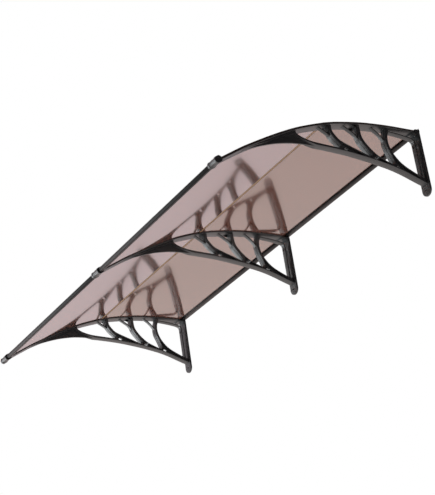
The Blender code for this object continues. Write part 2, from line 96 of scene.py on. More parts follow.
SLEEVE_N = 0.0130         # half its height
SLEEVE_LENGTH = 0.056
SLEEVE_END = 0.003
SLEEVE_SCREW = 0.014      # from the middle of a sleeve to its screws
FOLD_Y = -0.460           # where the sheets are folded
SCORE_FRONT = 0.0095      # how far the score reaches in front of the fold, and behind it
SCORE_REAR = 0.0060
SCORE_DEPTH = 0.0010
# The score's gold line is a painted highlight, and the dark bands beside it are painted shade.
PAINTED_HIGHLIGHT_Y = FOLD_Y - 0.0012  # middle of the score's gold line, and half the line's width
PAINTED_HIGHLIGHT_HALF = 0.0046
REAR_PANE = (0.0, -0.07, 0.9976)     # upward normals of the two halves of a sheet
FRONT_PANE = (0.0, -0.27, 0.9629)

# Side outline in millimetres from the wall and from the top
SEAT_REAR = [(-80, -7), (-150, -6), (-225, -8), (-300, -13), (-400, -26), (-460, -38)]
SEAT_FRONT = [(-460, -38), (-530, -58), (-604, -83), (-700, -124), (-814, -179), (-866, -207),
              (-944, -252)]
ARM_LOW = [(-3, -234), (-50, -216), (-105, -194), (-155, -178.5), (-204, -167.5), (-250, -158.5),
           (-303, -150), (-352, -143), (-403, -138), (-452, -134.5), (-503, -132), (-562, -131)]
WEDGE_LOW = [(-562, -131), (-605, -133), (-654, -140), (-700, -150), (-756, -166.5),
             (-800, -182.5), (-838, -199)]
STRUT_3_WALL = [(-3, -213), (-25, -207), (-64, -189), (-103, -167), (-127, -146), (-146, -120),
                (-157, -94), (-161, -69), (-158, -44), (-149, -22), (-147, -9)]
OPENINGS = [
    ([(-590, -80), (-592, -91), (-580, -101), (-560, -110), (-530, -118), (-500, -122),
      (-450, -126), (-408, -129)],
     [(-408, -129), (-394, -128), (-390, -120)],
     [(-390, -120), (-402, -107), (-421, -88), (-436, -62), (-441, -34)]),
    ([(-423, -30), (-422, -58), (-409, -79), (-390, -97), (-351, -114), (-311, -129),
      (-272, -144)],
     [(-272, -144), (-257, -148), (-250, -141)],
     [(-250, -141), (-270, -116), (-292, -86), (-301, -58), (-304, -18)]),
    ([(-288, -16), (-286, -58), (-278, -81), (-256, -110), (-227, -136), (-193, -154),
      (-164, -166)],
     [(-164, -166), (-151, -167), (-147, -155)],
     [(-147, -155), (-158, -124), (-169, -97), (-173, -70), (-170, -44), (-163, -20),
      (-161, -11)])]
FORKS = ([(-432, -76), (-447, -64), (-478, -48)],
         [(-297, -72), (-313, -53), (-334, -38), (-360, -25)],
         [(-171, -66), (-183, -48), (-199, -31), (-226, -13)])
BOSSES = [(-363, -128), (-226, -149), (-127, -174)]
CORNER = [(-27.5, -42), (-39, -35.5), (-60, -31), (-100, -25), (-150, -20)]
POCKETS = [
    [(-384, -104.5), (-351, -119), (-318, -131.5), (-292, -141.5), (-290, -146.5), (-303, -145.5),
     (-352, -138.5), (-382, -135), (-386, -127), (-391, -117)],
    [(-247, -124), (-224, -142), (-191, -159.5), (-180, -164), (-178, -169), (-204, -163.5),
     (-244, -155), (-250, -149), (-244, -140)],
    [(-147, -130), (-131, -149), (-106, -171), (-66, -194), (-38, -207), (-38, -214.5),
     (-50, -210.5), (-105, -189), (-144, -176.5), (-147, -168), (-141, -155), (-151, -133)]]
WEDGE_POCKET = [(-480, -140), (-505, -131.5), (-535, -125), (-566, -116), (-588, -105.5),
                (-602, -97), (-612, -97.5), (-650, -113), (-700, -134.5), (-745, -156),
                (-775, -168), (-870, -212), (-870, -230), (-480, -160)]


# Lines in the side view

def at(y, z):
    return Vector((y / 1000.0, z / 1000.0 + TOP))


def smooth(points, steps=4):
    """A line through the points, without corners."""
    pts = [p if isinstance(p, Vector) else at(*p) for p in points]
    ends = [2 * pts[0] - pts[1]] + pts + [2 * pts[-1] - pts[-2]]
    line = []
    for a, b, c, d in zip(ends, ends[1:], ends[2:], ends[3:]):
        for k in range(steps):
            t = k / steps
            line.append(0.5 * (2 * b + (c - a) * t + (2 * a - 5 * b + 4 * c - d) * t * t
                               + (3 * b - a - 3 * c + d) * t ** 3))
    return line + [pts[-1]]


def eased(loop):
    """A closed outline with its corners cut back to curves."""
    for _ in range(2):
        cut = []
        for a, b in zip(loop, loop[1:] + loop[:1]):
            cut += [a * 0.75 + b * 0.25, a * 0.25 + b * 0.75]
        loop = cut
    return loop


def left(direction):
    return Vector((-direction.y, direction.x)).normalized()


def offset(line, distance, closed=False):
    """The line moved to its left by a distance."""
    moved, last = [], len(line) - 1
    for i, p in enumerate(line):
        before = line[i - 1] if i or closed else p
        after = line[i + 1] if i < last else (line[0] if closed else p)
        sides = [left(d) for d in (p - before, after - p) if d.length > 1e-7]
        side = sum(sides, Vector((0, 0))).normalized()
        moved.append(p + side * distance / max(side.dot(sides[0]), 0.5))
    return moved


def spaced(loop):
    """The outline without points that lie too close together for a rounded edge."""
    least = 0.0004
    kept = [loop[0]]
    for p in loop[1:]:
        if (p - kept[-1]).length > least:
            kept.append(p)
    return kept[:-1] if (kept[-1] - kept[0]).length < least else kept


seat_level = at(0, -8).y
seat_rear = smooth([Vector((SEAT_END, seat_level))] + SEAT_REAR)
seat_front = smooth(SEAT_FRONT)
seat_line = seat_rear + seat_front[1:]
slope = (seat_front[-1] - smooth(SEAT_FRONT, 2)[-2]).normalized()
rise = Vector((slope.y, -slope.x))
rail_centre = seat_line[-1] + rise * (CLEAR + SHEET / 2)
rail_centre += slope * ((-DEPTH - rail_centre.x) / slope.x)


def on_rail(a, n):
    """A point of the front rail's section: a down the slope, n upwards from the sheet."""
    return rail_centre + slope * a + rise * n


def reaching(line, reach):
    """The line carried on down the slope as far as reach from the front rail's middle."""
    kept = [p for p in line if (p - rail_centre).dot(slope) < reach - 0.004]
    return kept + [kept[-1] + slope * (reach - (kept[-1] - rail_centre).dot(slope))]


def under_seat(y, depth):
    line = offset(seat_line, depth)
    for a, b in zip(line, line[1:]):
        if b.x <= y:
            return a + (b - a) * ((y - a.x) / (b.x - a.x))
    return line[-1]


def seat_run(y0, y1, depth):
    """The part of the seat's line between two places, at a depth under its top."""
    low, high = sorted((y0, y1))
    run = [p for p in offset(seat_line, depth) if low + 0.003 < p.x < high - 0.003]
    run = run if y1 < y0 else run[::-1]
    return [under_seat(y0, depth)] + run + [under_seat(y1, depth)]


def station(distance):
    """Point on top of the seat at a distance from the wall, with the upward normal."""
    for a, b in zip(seat_line, seat_line[1:]):
        if b.x <= -distance:
            return a + (b - a) * ((-distance - a.x) / (b.x - a.x)), -left(b - a)
    return seat_line[-1], rise


# Handling of pieces

def hold(obj):
    bpy.ops.object.select_all(action='DESELECT')
    obj.select_set(True)
    bpy.context.view_layer.objects.active = obj
    return obj


def open_with(obj, test, kind='FACE'):
    """Opens the piece for editing with the faces, edges or points that pass the test selected."""
    hold(obj)
    bpy.ops.object.mode_set(mode='EDIT')
    bpy.ops.mesh.select_mode(type=kind)
    bpy.ops.mesh.select_all(action='DESELECT')
    bm = bmesh.from_edit_mesh(obj.data)
    for item in {'FACE': bm.faces, 'EDGE': bm.edges, 'VERT': bm.verts}[kind]:
        item.select_set(bool(test(item)))
    bm.select_flush_mode()
    bmesh.update_edit_mesh(obj.data)


def close():
    bpy.ops.object.mode_set(mode='OBJECT')


def settle(obj):
    """Applies place and size, welds doubled points and turns the faces outwards."""
    hold(obj)
    bpy.ops.object.transform_apply(location=True, rotation=True, scale=True)
    open_with(obj, lambda p: True, 'VERT')
    bpy.ops.mesh.remove_doubles(threshold=0.00002)
    bpy.ops.mesh.normals_make_consistent(inside=False)
    close()
    return obj


def section(name, loops, x0, x1, edge=0.0, facing='X'):
    """Flat outlines given thickness, with rounded edges; (y, z) along X, (x, z) along Y."""
    curve = bpy.data.curves.new(name, 'CURVE')
    curve.dimensions = '2D'
    curve.fill_mode = 'BOTH'
    curve.extrude = abs(x1 - x0) / 2 - edge
    curve.bevel_depth = edge
    curve.bevel_resolution = 2
    curve.offset = -edge
    for loop in loops:
        loop = spaced(loop)
        spline = curve.splines.new('POLY')
        spline.points.add(len(loop) - 1)
        for point, p in zip(spline.points, loop):
            point.co = (p.x, p.y, 0, 1)
        spline.use_cyclic_u = True
    obj = bpy.data.objects.new(name, curve)
    bpy.context.scene.collection.objects.link(obj)
    hold(obj)
    middle = (x0 + x1) / 2
    obj.location = (middle, 0, 0) if facing == 'X' else (0, middle, 0)
    obj.rotation_euler = (math.pi / 2, 0, math.pi / 2 if facing == 'X' else 0)
    bpy.ops.object.convert(target='MESH')
    return settle(obj)


def rod(name, radius, length, middle, direction, sides=40):
    bpy.ops.mesh.primitive_cylinder_add(vertices=sides, radius=radius, depth=length)
    obj = bpy.context.object
    obj.name = name
    obj.rotation_euler = Vector(direction).to_track_quat('Z', 'Y').to_euler()
    obj.location = middle
    return settle(obj)


def block(name, low, high, edge=0.0):
    bpy.ops.mesh.primitive_cube_add(size=1, location=[(a + b) / 2 for a, b in zip(low, high)])
    obj = bpy.context.object
    obj.name = name
    obj.scale = [b - a for a, b in zip(low, high)]
    settle(obj)
    if edge:
        rounded(obj, edge)
    return obj


def rounded(obj, width):
    hold(obj)
    step = obj.modifiers.new("edges", 'BEVEL')
    step.width = width
    step.segments = 2
    step.limit_method = 'ANGLE'
    step.angle_limit = math.radians(35)
    bpy.ops.object.modifier_apply(modifier="edges")
    return obj


def cut(obj, tools, operation='DIFFERENCE'):
    for tool in tools:
        hold(obj)
        step = obj.modifiers.new("cut", 'BOOLEAN')
        step.operation = operation
        step.solver = 'EXACT'
        step.object = tool
        bpy.ops.object.modifier_apply(modifier="cut")
        bpy.data.objects.remove(tool, do_unlink=True)
    return obj


def joined(name, pieces):
    hold(pieces[0])
    for piece in pieces:
        piece.select_set(True)
    bpy.ops.object.join()
    obj = bpy.context.object
    obj.name = obj.data.name = name
    return obj


def finish(obj, materials, nodes, angle=32):
    hold(obj)
    bpy.ops.object.shade_smooth_by_angle(angle=math.radians(angle))
    if not isinstance(materials, (list, tuple)):
        materials = [materials]
    obj.data.materials.clear()
    for mat in materials:
        obj.data.materials.append(mat)
    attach(obj, "root")
    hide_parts(*nodes)
    return obj


def painted(obj, index, test):
    """Gives the faces that pass the test another of the piece's materials."""
    open_with(obj, test)
    obj.active_material_index = index
    bpy.ops.object.material_slot_assign()
    close()


def copied(obj, name, matrix):
    other = bpy.data.objects.new(name, obj.data.copy())
    other.data.name = name
    other.data.transform(matrix)
    bpy.context.scene.collection.objects.link(other)
    return other


# Materials

def tint(code):
    """sRGB hex to linear colour."""
    parts = [int(code[i:i + 2], 16) / 255 for i in (1, 3, 5)]
    return tuple(c / 12.92 if c <= 0.04045 else ((c + 0.055) / 1.055) ** 2.4
                 for c in parts) + (1.0,)


def material(name):
    mat = bpy.data.materials.new(name)
    mat.use_nodes = True
    return mat, mat.node_tree.nodes["Principled BSDF"]


def add(mat, kind, settings=None, links=None):
    """A node with its settings and inputs; a link is (node, output name)."""
    node = mat.node_tree.nodes.new(kind)
    for key, value in (settings or {}).items():
        setattr(node, key, value)
    for key, value in (links or {}).items():
        if isinstance(value, tuple) and hasattr(value[0], "outputs"):
            mat.node_tree.links.new(value[0].outputs[value[1]], node.inputs[key])
        else:
            node.inputs[key].default_value = value
    return node


def plug(mat, node, output, shader, socket):
    mat.node_tree.links.new(node.outputs[output], shader.inputs[socket])


def black_nylon():
    """Glass-filled nylon, injection moulded black: satin skin, faint flow clouding, fine grain.

    Its IOR is set above nylon's own 1.5, for the strong cool glints of the picture.
    """
    mat, shader = material("moulded_black_nylon")
    place = add(mat, 'ShaderNodeTexCoord')
    cloud = add(mat, 'ShaderNodeTexNoise', None,
                {"Vector": (place, "Object"), "Scale": 14.0, "Detail": 4.0, "Roughness": 0.55})
    colour = add(mat, 'ShaderNodeMix', {"data_type": 'RGBA'},
                 {0: (cloud, "Fac"), 6: tint("#343739"), 7: tint("#404345")})
    plug(mat, colour, 2, shader, "Base Color")
    gloss = add(mat, 'ShaderNodeMapRange', None,
                {"Value": (cloud, "Fac"), "From Min": 0.3, "From Max": 0.7,
                 "To Min": 0.32, "To Max": 0.42})
    plug(mat, gloss, "Result", shader, "Roughness")
    grain = add(mat, 'ShaderNodeTexNoise', None,
                {"Vector": (place, "Object"), "Scale": 900.0, "Detail": 3.0})
    bump = add(mat, 'ShaderNodeBump', None,
               {"Height": (grain, "Fac"), "Strength": 0.03, "Distance": 0.0003})
    plug(mat, bump, "Normal", shader, "Normal")
    shader.inputs["IOR"].default_value = 1.8
    shader.inputs["Specular Tint"].default_value = (0.86, 0.96, 1.0, 1.0)
    return mat


def charcoal_aluminium():
    """Extruded aluminium, charcoal anodised: die lines run along it and stretch the gloss."""
    mat, shader = material("charcoal_anodised_aluminium")
    place = add(mat, 'ShaderNodeTexCoord')
    drawn = add(mat, 'ShaderNodeMapping', None,
                {"Vector": (place, "Object"), "Scale": (1.5, 700.0, 700.0)})
    lines = add(mat, 'ShaderNodeTexNoise', None,
                {"Vector": (drawn, "Vector"), "Scale": 1.0, "Detail": 3.0})
    colour = add(mat, 'ShaderNodeMix', {"data_type": 'RGBA'},
                 {0: (lines, "Fac"), 6: tint("#1d1f20"), 7: tint("#2a2c2d")})
    plug(mat, colour, 2, shader, "Base Color")
    gloss = add(mat, 'ShaderNodeMapRange', None,
                {"Value": (lines, "Fac"), "To Min": 0.30, "To Max": 0.46})
    plug(mat, gloss, "Result", shader, "Roughness")
    bump = add(mat, 'ShaderNodeBump', None,
               {"Height": (lines, "Fac"), "Strength": 0.08, "Distance": 0.0003})
    plug(mat, bump, "Normal", shader, "Normal")
    shader.inputs["Metallic"].default_value = 1.0
    return mat


def bronze_polycarbonate():
    """Solid polycarbonate sheet, bronze through its thickness, hard-coated and polished.

    Each half mirrors the brackets almost as a flat pane, though its shape is curved: the normals
    used for shading are drawn 88 % of the way to the pane's. The coat's IOR is above a real
    lacquer's, for mirror images as clear as in the picture.
    """
    mat, shader = material("bronze_polycarbonate")
    place = add(mat, 'ShaderNodeTexCoord')
    axes = add(mat, 'ShaderNodeSeparateXYZ', None, {"Vector": (place, "Object")})
    cloud = add(mat, 'ShaderNodeTexNoise', None,
                {"Vector": (place, "Object"), "Scale": 2.5, "Detail": 2.0})
    colour = add(mat, 'ShaderNodeMix', {"data_type": 'RGBA'},
                 {0: (cloud, "Fac"), 6: tint("#683f33"), 7: tint("#70463a")})
    plug(mat, colour, 2, shader, "Base Color")
    facing = add(mat, 'ShaderNodeNewGeometry')
    turned = add(mat, 'ShaderNodeSeparateXYZ', None, {"Vector": (facing, "Normal")})
    side = add(mat, 'ShaderNodeMath', {"operation": 'SIGN'}, {0: (turned, "Z")})
    front = add(mat, 'ShaderNodeMath', {"operation": 'LESS_THAN'}, {0: (axes, "Y"), 1: FOLD_Y})
    half = add(mat, 'ShaderNodeMix', {"data_type": 'VECTOR'},
               {0: (front, "Value"), 4: REAR_PANE, 5: FRONT_PANE})
    flat = add(mat, 'ShaderNodeVectorMath', {"operation": 'SCALE'},
               {0: (half, 1), "Scale": (side, "Value")})
    blend = add(mat, 'ShaderNodeMix', {"data_type": 'VECTOR'},
                {0: 0.88, 4: (facing, "Normal"), 5: (flat, "Vector")})
    unit = add(mat, 'ShaderNodeVectorMath', {"operation": 'NORMALIZE'}, {0: (blend, 1)})
    wave = add(mat, 'ShaderNodeTexNoise', None,
               {"Vector": (place, "Object"), "Scale": 5.0, "Detail": 1.0})
    bump = add(mat, 'ShaderNodeBump', None,
               {"Height": (wave, "Fac"), "Strength": 0.02, "Distance": 0.002,
                "Normal": (unit, "Vector")})
    plug(mat, bump, "Normal", shader, "Normal")
    plug(mat, unit, "Vector", shader, "Coat Normal")
    shader.inputs["Roughness"].default_value = 0.15
    shader.inputs["IOR"].default_value = 1.585
    shader.inputs["Transmission Weight"].default_value = 1.0
    shader.inputs["Coat Weight"].default_value = 1.0
    shader.inputs["Coat IOR"].default_value = 2.1
    shader.inputs["Coat Roughness"].default_value = 0.08
    return mat


def scored_polycarbonate():
    """The same sheet where it is scored for the fold, frosted: along the fold a gold line of
    painted highlight, between two dark bands of painted shade at the edges of the score."""
    mat, shader = material("scored_polycarbonate")
    place = add(mat, 'ShaderNodeTexCoord')
    axes = add(mat, 'ShaderNodeSeparateXYZ', None, {"Vector": (place, "Object")})
    scratch = add(mat, 'ShaderNodeTexNoise', None,
                  {"Vector": (place, "Object"), "Scale": 350.0, "Detail": 2.0})
    # Painted highlight: the light gold line along the score, finely varied by the scratch noise.
    painted_highlight = add(mat, 'ShaderNodeMix', {"data_type": 'RGBA'},
               {0: (scratch, "Fac"), 6: tint("#e0b98c"), 7: tint("#efd0a8")})
    away = add(mat, 'ShaderNodeMath', {"operation": 'SUBTRACT'}, {0: (axes, "Y"), 1: PAINTED_HIGHLIGHT_Y})
    far = add(mat, 'ShaderNodeMath', {"operation": 'ABSOLUTE'}, {0: (away, "Value")})
    # Mask for the painted shade: beyond the gold line the score gets a dark colour that stands in for
    # shade.
    edge = add(mat, 'ShaderNodeMath', {"operation": 'GREATER_THAN'}, {0: (far, "Value"), 1: PAINTED_HIGHLIGHT_HALF})
    colour = add(mat, 'ShaderNodeMix', {"data_type": 'RGBA'},
                 {0: (edge, "Value"), 6: (painted_highlight, 2), 7: tint("#3d2a1c")})
    plug(mat, colour, 2, shader, "Base Color")
    shader.inputs["Roughness"].default_value = 0.55
    shader.inputs["IOR"].default_value = 1.585
    return mat


def sawn_polycarbonate():
    """The sheet's sawn ends: saw lines across a frosted edge, greyer than the faces."""
    mat, shader = material("sawn_polycarbonate")
    place = add(mat, 'ShaderNodeTexCoord')
    lines = add(mat, 'ShaderNodeTexNoise', None,
                {"Vector": (place, "Object"), "Scale": 600.0, "Detail": 2.0})
    colour = add(mat, 'ShaderNodeMix', {"data_type": 'RGBA'},
                 {0: (lines, "Fac"), 6: tint("#41332c"), 7: tint("#544238")})
    plug(mat, colour, 2, shader, "Base Color")
    shader.inputs["Roughness"].default_value = 0.5
    return mat


def grey_rubber():
    """Soft extruded rubber: matt, dusty grey."""
    mat, shader = material("grey_rubber")
    place = add(mat, 'ShaderNodeTexCoord')
    dust = add(mat, 'ShaderNodeTexNoise', None,
               {"Vector": (place, "Object"), "Scale": 60.0, "Detail": 5.0})
    colour = add(mat, 'ShaderNodeMix', {"data_type": 'RGBA'},
                 {0: (dust, "Fac"), 6: tint("#8b8884"), 7: tint("#a09d99")})
    plug(mat, colour, 2, shader, "Base Color")
    shader.inputs["Roughness"].default_value = 0.7
    return mat


def zinc_steel():
    """Zinc-plated steel, passivated: bright grey with a light bloom."""
    mat, shader = material("zinc_plated_steel")
    place = add(mat, 'ShaderNodeTexCoord')
    bloom = add(mat, 'ShaderNodeTexNoise', None,
                {"Vector": (place, "Object"), "Scale": 400.0, "Detail": 3.0})
    colour = add(mat, 'ShaderNodeMix', {"data_type": 'RGBA'},
                 {0: (bloom, "Fac"), 6: tint("#a8abb0"), 7: tint("#c3c5c8")})
    plug(mat, colour, 2, shader, "Base Color")
    gloss = add(mat, 'ShaderNodeMapRange', None,
                {"Value": (bloom, "Fac"), "To Min": 0.24, "To Max": 0.42})
    plug(mat, gloss, "Result", shader, "Roughness")
    shader.inputs["Metallic"].default_value = 1.0
    return mat


nylon = black_nylon()
aluminium = charcoal_aluminium()
bronze = bronze_polycarbonate()
scored = scored_polycarbonate()
sawn = sawn_polycarbonate()
rubber = grey_rubber()
steel = zinc_steel()


# Bracket

def opening(runs):
    start, stop = at(*runs[0][0]).x, at(*runs[-1][-1]).x
    top = seat_run(stop, start, SEAT_THICK * 0.72)
    runs = [list(run) for run in runs]
    runs[0][0], runs[-1][-1] = top[-1], top[0]
    loop = []
    for run in runs:
        loop += smooth(run)[:-1]
    return loop + top[:-1]


def circle(centre, radius, count=40):
    return [centre + Vector((math.cos(t), math.sin(t))) * radius
            for t in [2 * math.pi * k / count for k in range(count)]]


def stroke(line, width):
    return offset(line, width / 2) + offset(line, -width / 2)[::-1]


def through(p, up, radius=SCREW_HOLE / 2, length=0.06, x=0.0, sides=24):
    return rod("drill", radius, length, (x, p.x, p.y), (0, up.x, up.y), sides)


stations = [station(distance - SEAT_END) for distance in COVER_SCREWS]
centres = [at(*p) for p in BOSSES]
side = WEB / 2
seat_reach = -SLEEVE_A - CLEAR
shelf_top = seat_level - CLEAR - REAR_FLOOR
shelf_low = shelf_top - 0.004
shelf_y = SEAT_END - 0.012


def bracket_frame():
    """The arm, struts and wedge: a rim round every opening and pocket, on a thin web."""
    openings = [opening(runs) for runs in OPENINGS]
    top = seat_run(at(*STRUT_3_WALL[-1]).x, at(*WEDGE_LOW[-1]).x, SEAT_THICK * 0.4)
    outline = (smooth(ARM_LOW) + smooth(WEDGE_LOW)[1:] + top[::-1]
               + smooth(STRUT_3_WALL[:-1] + [top[0]])[::-1][1:])
    pockets = [eased([at(*p) for p in loop]) for loop in POCKETS]
    rim = section("rim", [outline] + openings + pockets, -RIB / 2, RIB / 2, 0.0009)
    cut(rim, [section("wedge_pocket", [[at(*p) for p in WEDGE_POCKET]], -RIB, RIB)])
    cut(rim, [rod("bore", BOSS_HOLE / 2, 0.06, (0, c.x, c.y), (1, 0, 0)) for c in centres])
    web = section("web", [offset(outline, -0.0012, True)]
                  + [offset(loop, 0.0010, True) for loop in openings]
                  + [circle(c, BOSS_HOLE / 2) for c in centres], -side, side)
    rings = [section("boss", [circle(c, BOSS_RADIUS), circle(c, BOSS_HOLE / 2)],
                     -BOSS_WIDTH / 2, BOSS_WIDTH / 2, 0.0007) for c in centres]
    forks = []
    for line in FORKS:
        middle = smooth(line[:-1] + [under_seat(at(*line[-1]).x, SEAT_THICK * 0.6)], 6)
        forks.append(section("fork", [stroke(middle, FORK_THICK)], -FORK / 2, FORK / 2,
                             0.0010))
    return [rim, web] + rings + forks


def bracket_seat():
    """The arched strip that carries the sheets, with the shelf under the rear rail."""
    low = [p for p in reaching(offset(seat_line, SEAT_THICK), seat_reach) if p.x < shelf_y - 0.001]
    shelf = [under_seat(shelf_y, SEAT_THICK), Vector((shelf_y, shelf_low)),
             Vector((POST_BACK, shelf_low)), Vector((POST_BACK, shelf_top)),
             Vector((SEAT_END, shelf_top))]
    seat = section("seat", [reaching(seat_line, seat_reach) + low[::-1] + shelf],
                   -SEAT_WIDTH / 2, SEAT_WIDTH / 2, 0.0009)
    depth = SCREW_BITE + CLEAR
    cut(seat, [through(p + up * (0.01 - depth / 2), up, length=0.02 + depth) for p, up in stations])
    return [seat]


def bracket_post():
    """The wall plate with its ear, and the post: a flange on a web, with a screw boss."""
    ear_z = TOP - EAR_DROP
    hole_z = TOP - POST_HOLE_DROP
    half = PLATE_WIDTH / 2
    loop = [Vector((math.sin(t) * half, ear_z - math.cos(t) * half))
            for t in [math.pi * (k / 36 - 0.5) for k in range(37)]]
    loop += [Vector((half, shelf_top - 0.001)), Vector((-half, shelf_top - 0.001))]
    plate = section("plate", [loop, circle(Vector((0, ear_z)), EAR_HOLE / 2, 32),
                              circle(Vector((0, hole_z)), POST_HOLE / 2, 32)], -PLATE, 0, 0.0012,
                    facing='Y')
    low = TOP - POST_DROP
    y = -POST_DEPTH + POST_FLANGE / 2
    line = smooth([Vector((y, low)), Vector((y, low / 2)), Vector((y, hole_z)),
                   Vector((y, TOP - 0.054))] + CORNER)
    flange = section("flange", [stroke(line, POST_FLANGE)], -POST_WIDTH / 2, POST_WIDTH / 2,
                     0.0009)
    web = section("post_web", [line + seat_run(line[-1].x, shelf_y, SEAT_THICK * 0.6)
                               + [Vector((shelf_y, shelf_top - 0.002)),
                                  Vector((POST_BACK, shelf_top - 0.002)),
                                  Vector((POST_BACK, low))]],
                  -POST_WEB / 2, POST_WEB / 2)
    boss = rod("post_boss", 0.008, POST_DEPTH - 0.0015, (0, -POST_DEPTH / 2 - 0.00125, hole_z),
               (0, 1, 0))
    rounded(boss, 0.0006)
    post = cut(joined("post", [flange, web]), [boss], 'UNION')
    cut(post, [rod("screw_way", POST_HOLE / 2, 0.12, (0, 0, hole_z), (0, 1, 0)),
               rod("counterbore", 0.0055, 0.016, (0, -POST_DEPTH, hole_z), (0, 1, 0))])
    return [plate, post]


bracket = joined("bracket", bracket_frame() + bracket_seat() + bracket_post())
for name, x in BRACKETS:
    body = copied(bracket, f"bracket_{name}_body", Matrix.Translation((x, 0, 0)))
    finish(body, nylon, [f"bracket_{name}"])
bpy.data.objects.remove(bracket, do_unlink=True)


# Sheets, scored across the middle, with sawn ends

def sheet_loop():
    """Section of a sheet, with the score as a shallow groove in its underside."""
    end = SLOT_END - CLEAR
    front, rear = FOLD_Y - SCORE_FRONT, FOLD_Y + SCORE_REAR
    under = reaching(offset(seat_line, -CLEAR), end)
    groove = [under_seat(rear, -CLEAR), under_seat(FOLD_Y, -CLEAR) + Vector((0, SCORE_DEPTH)),
              under_seat(front, -CLEAR)]
    low = ([Vector((SHEET_REAR, seat_level + CLEAR))] + [p for p in under if p.x > rear + 0.001]
           + groove + [p for p in under if p.x < front - 0.001])
    high = ([Vector((SHEET_REAR, seat_level + CLEAR + SHEET))]
            + reaching(offset(seat_line, -CLEAR - SHEET), end))
    return low + high[::-1]


def rail_drills(x0, x1, n0, n1):
    """Drills at the sleeve screws that lie between x0 and x1, from n0 to n1 over the sheet."""
    spots = [x + sign * SLEEVE_SCREW for _, x in BRACKETS for sign in (-1, 1)]
    p = on_rail(SCREW_A, (n0 + n1) / 2)
    return [through(p, rise, length=n1 - n0, x=x) for x in spots if x0 < x < x1]


def between(sign):
    return sorted((sign * SEAM_X, sign * END_X))


for side_name, sign in (("right", 1), ("left", -1)):
    x0, x1 = between(sign)
    sheet = section("sheet", [sheet_loop()], x0, x1)
    cut(sheet, [through(p, up, x=sign * BRACKET_X) for p, up in stations]
        + rail_drills(x0, x1, -0.01, 0.01))
    sheet.name = f"sheet_{side_name}_pane"
    finish(sheet, [bronze, scored, sawn], [f"sheet_{side_name}"], 20)
    painted(sheet, 1, lambda f: f.normal.z < -0.5
            and FOLD_Y - SCORE_FRONT < f.calc_center_median().y < FOLD_Y + SCORE_REAR)
    painted(sheet, 2, lambda f: abs(f.normal.x) > 0.9)


# Cover strips: a flange as wide as the seat, with a raised crown

def cover_strip():
    under = reaching(offset(seat_line, -2 * CLEAR - SHEET), seat_reach)
    middle = reaching(offset(seat_line, -2 * CLEAR - SHEET - COVER_FLANGE), seat_reach)
    inner = reaching(offset(seat_line, -2 * CLEAR - SHEET - 0.0006), seat_reach - 0.002)
    over = reaching(offset(seat_line, -2 * CLEAR - SHEET - COVER), seat_reach - 0.002)
    flange = section("flange", [under + middle[::-1]], -COVER_WIDTH / 2, COVER_WIDTH / 2, 0.0006)
    crown = section("crown", [inner + over[::-1]], -CROWN_WIDTH / 2, CROWN_WIDTH / 2, 0.0009)
    for layer in (flange, crown):
        cut(layer, [through(p, up) for p, up in stations])
    return joined("strip", [flange, crown])


strip = cover_strip()
for name, x in BRACKETS:
    finish(copied(strip, f"cover_strip_{name}_body", Matrix.Translation((x, 0, 0))), nylon,
           [f"cover_strip_{name}"])
bpy.data.objects.remove(strip, do_unlink=True)


# Front rails with their seals, and the rear rails with their caps and wall seals

slot_up = SHEET / 2 + CLEAR
slot_low = SHEET / 2 + 2 * CLEAR + SEAL
rear_low = seat_level - REAR_FLOOR
rear_high = seat_level + 2 * CLEAR + SHEET + REAR_LIP


def front_rail(name, x0, x1):
    a, n, c = RAIL_A, RAIL_N, RAIL_CHAMFER
    groove, bed, wall, r = 0.003, 0.0012, 0.0018, 0.0015
    outline = [(-a, slot_up), (-a, n - r), (-a + r, n), (a - c, n), (a, n - c), (a, -n + c),
               (a - c, -n), (groove, -n), (groove - 0.0008, -n + bed),
               (-groove + 0.0008, -n + bed), (-groove, -n), (-a + r, -n), (-a, -n + r),
               (-a, -slot_low), (SLOT_END, -slot_low), (SLOT_END, slot_up)]
    hollow = [(SLOT_END + wall, n - wall), (a - c, n - wall), (a - wall, n - c),
              (a - wall, -n + c), (a - c, -n + bed + wall), (SLOT_END + wall, -n + bed + wall)]
    rail = section(name, [[on_rail(*p) for p in outline], [on_rail(*p) for p in hollow]], x0, x1)
    cut(rail, rail_drills(x0, x1, slot_up / 2, 2 * n))
    return rounded(rail, 0.0005)


def rear_rail(name, x0, x1):
    slot = SHEET_REAR + 0.0006
    outline = [(REAR_BACK, rear_high), (REAR_BACK, rear_low), (REAR_FRONT, rear_low),
               (REAR_FRONT, seat_level), (slot, seat_level),
               (slot, seat_level + 2 * CLEAR + SHEET),
               (REAR_FRONT, seat_level + 2 * CLEAR + SHEET), (REAR_FRONT, rear_high)]
    return rounded(section(name, [[Vector(p) for p in outline]], x0, x1), 0.0006)


def rear_cap(name, x0, x1):
    cap = block(name, (x0, REAR_FRONT, rear_low), (x1, REAR_BACK, rear_high), 0.0008)
    outer = max(abs(x0), abs(x1))
    open_with(cap, lambda f: abs(f.calc_center_median().x) > outer - 0.0001)
    bpy.ops.mesh.inset(thickness=0.0016)
    bpy.ops.transform.translate(value=(math.copysign(0.0005, -x0), 0, 0))
    close()
    return cap


def wall_seal(name, x0, x1):
    foot = rear_high + CLEAR
    lip = smooth([Vector((-0.0021, foot + 0.0065)), Vector((-0.0030, foot + 0.0040)),
                  Vector((-0.0052, foot + 0.0019)), Vector((-0.0095, foot + 0.0016))])
    outline = [Vector((-CLEAR, foot)), Vector((-CLEAR, foot + 0.0065))] + lip
    return rounded(section(name, [outline + [Vector((-0.0102, foot))]], x0, x1), 0.0004)


